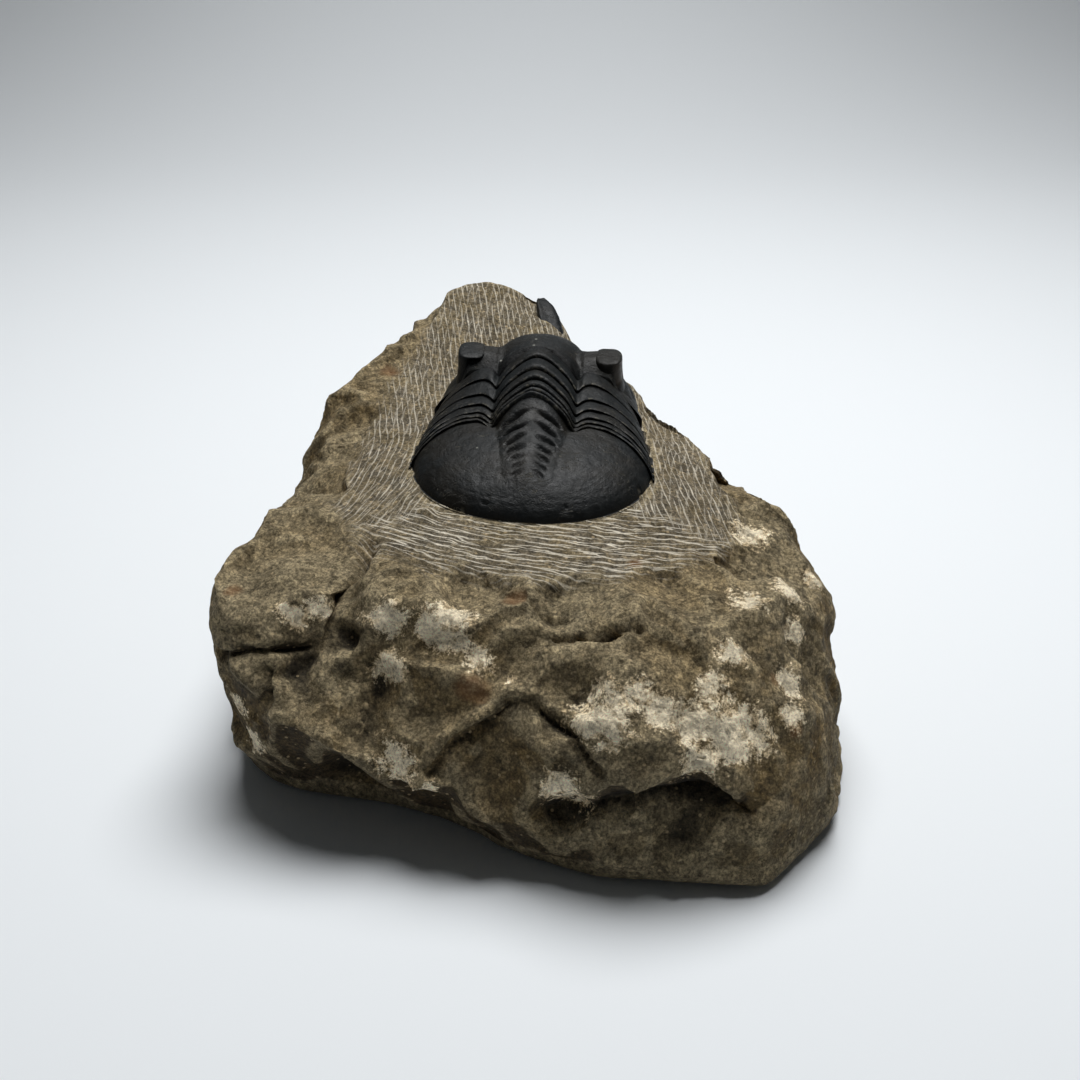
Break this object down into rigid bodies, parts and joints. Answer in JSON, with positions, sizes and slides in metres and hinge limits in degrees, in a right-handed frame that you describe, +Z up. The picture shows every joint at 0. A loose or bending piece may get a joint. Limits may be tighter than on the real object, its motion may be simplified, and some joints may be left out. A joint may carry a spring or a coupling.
{
  "type": "trilobite fossil in rock matrix",
  "caption": "Black trilobite fossil with ringed thorax and fan tail, raised on a prepared seat in a rough block of grey-brown limestone; a display specimen that rests flat.",
  "frame": {"origin": "centre of the bounding box in plan, at the level of the table the block rests on", "axes": "+Z up; +Y from the animal's tail towards its head and the block's high crest; +X to the animal's right as it lies"},
  "size_m": [0.0992, 0.1232, 0.0546],
  "materials": {
    "limestone": "rough broken and weathered rock",
    "black_calcite": "smooth, semi-matt fossil shell"
  },
  "bodies": {
    "root": {"matrix_rock": "limestone", "cephalon": "black_calcite", "thorax_segment_1": "black_calcite", "thorax_segment_2": "black_calcite", "thorax_segment_3": "black_calcite", "thorax_segment_4": "black_calcite", "thorax_segment_5": "black_calcite", "thorax_segment_6": "black_calcite", "pygidium": "black_calcite", "shell_fragment": "black_calcite"}
  },
  "joints": []
}
